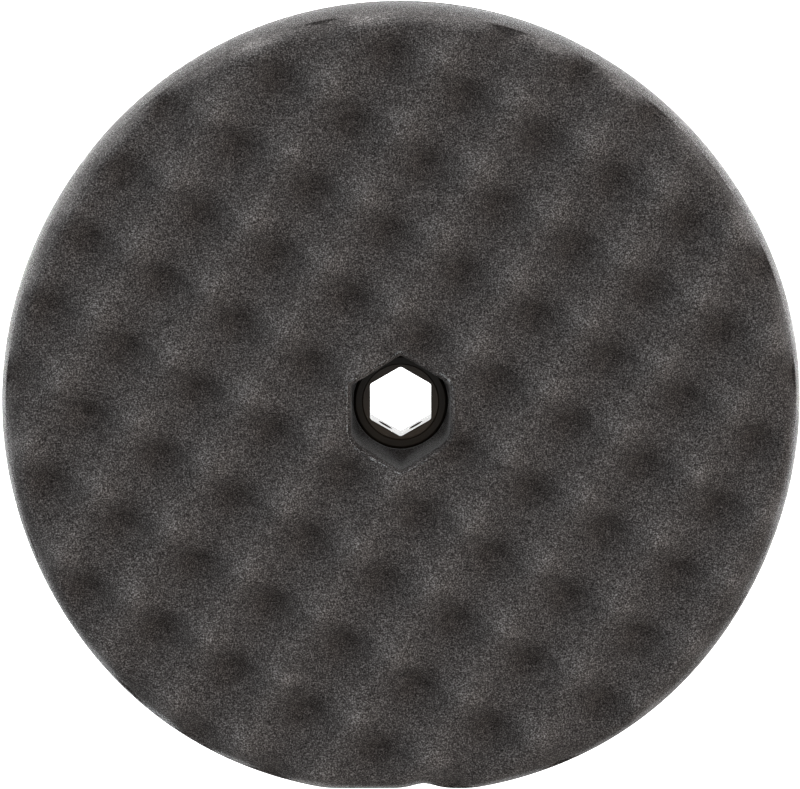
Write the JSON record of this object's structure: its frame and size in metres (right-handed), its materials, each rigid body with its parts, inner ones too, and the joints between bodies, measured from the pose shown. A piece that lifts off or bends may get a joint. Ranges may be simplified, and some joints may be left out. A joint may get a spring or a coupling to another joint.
{
  "type": "polishing pad",
  "caption": "Round double-sided foam polishing pad with convoluted faces and a hexagonal quick-connect hub through its centre.",
  "frame": {"origin": "centre of the hub, on the spin axis at the middle of the pad's thickness", "axes": "+Z along the spin axis, out of the front foam face; the hexagons have corners on +Y and -Y and flats facing +X and -X"},
  "size_m": [0.208, 0.208, 0.0636],
  "materials": {
    "foam": "fine open-cell polyurethane foam, dark grey",
    "adhesive": "translucent hot-melt film",
    "plate_plastic": "matt black moulded plastic",
    "hub_plastic": "semi-gloss black moulded nylon",
    "sleeve_plastic": "semi-gloss black moulded acetal, polished bore",
    "rivet_steel": "plain zinc-plated steel"
  },
  "bodies": {
    "root": {"front_foam": "foam", "rear_foam": "foam", "front_adhesive_film": "adhesive", "rear_adhesive_film": "adhesive", "front_backing_plate": "plate_plastic", "rear_backing_plate": "plate_plastic", "hub_front_half": "hub_plastic", "hub_rear_half": "hub_plastic", "hex_sleeve": "sleeve_plastic", "hub_rivets": "rivet_steel"}
  },
  "joints": []
}
